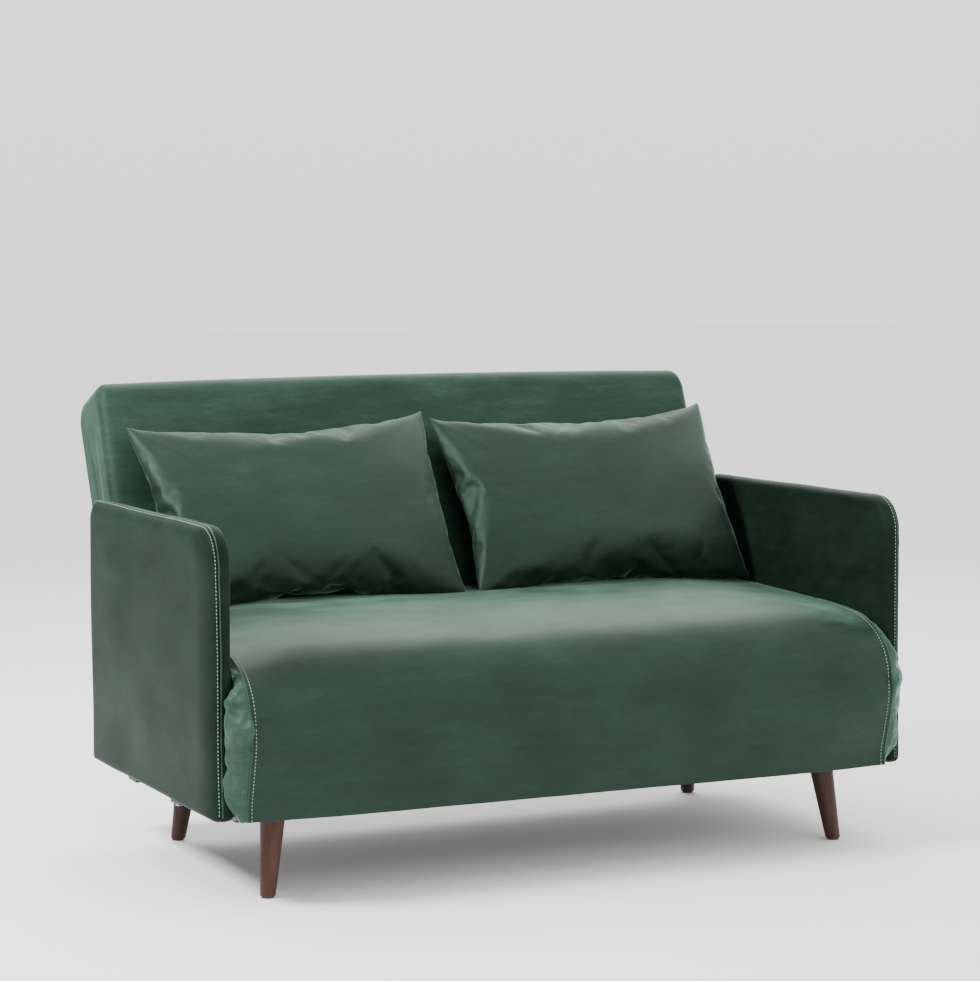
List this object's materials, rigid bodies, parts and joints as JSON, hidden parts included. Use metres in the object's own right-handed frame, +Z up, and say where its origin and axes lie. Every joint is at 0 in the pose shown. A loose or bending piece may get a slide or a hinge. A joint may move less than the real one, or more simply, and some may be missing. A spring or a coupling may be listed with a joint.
{
  "type": "futon sofa bed",
  "caption": "Two-seat velvet sofa bed with slim padded arms, tapered wooden legs, a reclining back, a fold-forward seat layer and loose cushions.",
  "frame": {"origin": "on the floor, below the centre of the whole sofa's box", "axes": "+X along the width, to the right when the sofa is seen from its front; +Y to the back; +Z up"},
  "size_m": [1.38, 0.9938, 0.8702],
  "materials": {
    "green_velvet": "soft velvet pile",
    "walnut": "dark satin stain",
    "zinc_steel": "zinc plated",
    "glide_felt": "matt",
    "birch": "clear matt lacquer",
    "black_plastic": "matt",
    "black_rubber": "matt",
    "lining_cloth": "thin non-woven cloth",
    "core_board": "raw board",
    "filling": "fibre filling",
    "black_steel": "satin powder coat"
  },
  "bodies": {
    "base": {"front_rail": "black_steel", "rear_rail": "black_steel", "side_rail_left": "black_steel", "side_rail_right": "black_steel", "cross_tubes": "black_steel", "leg_front_left": "walnut", "leg_front_right": "walnut", "leg_rear_left": "walnut", "leg_rear_right": "walnut", "leg_studs": "zinc_steel", "leg_glides": "glide_felt", "leg_plates": "black_steel", "leg_plate_screws": "zinc_steel", "seat_slats": "birch", "slat_holders": "black_plastic", "lower_seat_layer": "green_velvet", "front_apron": "green_velvet", "dust_cover": "lining_cloth", "back_rest_stops": "black_rubber", "arm_core_left": "core_board", "arm_core_right": "core_board", "arm_cover_left": "green_velvet", "arm_cover_right": "green_velvet", "arm_brackets": "black_steel", "arm_bolts": "zinc_steel", "back_hinge_brackets": "black_steel", "back_hinge_pins": "zinc_steel", "fold_hinge_brackets": "black_steel", "fold_hinge_pins": "zinc_steel"},
    "back": {"back_frame_left": "black_steel", "back_frame_right": "black_steel", "back_frame_bottom": "black_steel", "back_frame_top": "black_steel", "back_springs": "zinc_steel", "back_pad": "green_velvet", "back_hinge_arm_left": "black_steel", "back_hinge_arm_right": "black_steel"},
    "foot_section": {"foot_frame_left": "black_steel", "foot_frame_right": "black_steel", "foot_frame_front": "black_steel", "foot_frame_rear": "black_steel", "foot_cross_tube_front": "black_steel", "foot_cross_tube_rear": "black_steel", "foot_section_pad": "green_velvet", "fold_hinge_arm_left": "black_steel", "fold_hinge_arm_right": "black_steel", "foot_leg_pins": "zinc_steel"},
    "foot_leg_left": {"foot_leg_left": "black_steel", "foot_leg_shoe_left": "black_rubber"},
    "foot_leg_right": {"foot_leg_right": "black_steel", "foot_leg_shoe_right": "black_rubber"},
    "cushion_left": {"cushion_cover_left": "green_velvet", "cushion_filling_left": "filling"},
    "cushion_right": {"cushion_cover_right": "green_velvet", "cushion_filling_right": "filling"}
  },
  "joints": [
    {"name": "back_recline", "type": "hinge", "parent": "base", "child": "back", "pos_m": [0, 0.1361, 0.316], "axis": [-1, 0, 0], "range_deg": [0, 69]},
    {"name": "seat_unfold", "type": "hinge", "parent": "base", "child": "foot_section", "pos_m": [0, -0.4899, 0.316], "axis": [1, 0, 0], "range_deg": [0, 180]},
    {"name": "foot_leg_left_swing", "type": "hinge", "parent": "foot_section", "child": "foot_leg_left", "pos_m": [0, 0.1001, 0.388], "axis": [1, 0, 0], "range_deg": [-90, 0]},
    {"name": "foot_leg_right_swing", "type": "hinge", "parent": "foot_section", "child": "foot_leg_right", "pos_m": [0, 0.1001, 0.388], "axis": [1, 0, 0], "range_deg": [-90, 0]},
    {"name": "cushion_left_move", "type": "hinge", "parent": "foot_section", "child": "cushion_left", "pos_m": [0, 0.14026, 0.37264], "axis": [1, 0, 0], "range_deg": [-236.01, 0]},
    {"name": "cushion_right_move", "type": "hinge", "parent": "foot_section", "child": "cushion_right", "pos_m": [0, 0.14026, 0.37264], "axis": [1, 0, 0], "range_deg": [-236.01, 0]}
  ],
  "couplings": [
    {"joint": "foot_leg_left_swing", "follows": "seat_unfold", "ratio": -0.5},
    {"joint": "foot_leg_right_swing", "follows": "seat_unfold", "ratio": -0.5},
    {"joint": "cushion_left_move", "follows": "seat_unfold", "ratio": -1.3111},
    {"joint": "cushion_right_move", "follows": "seat_unfold", "ratio": -1.3111}
  ]
}
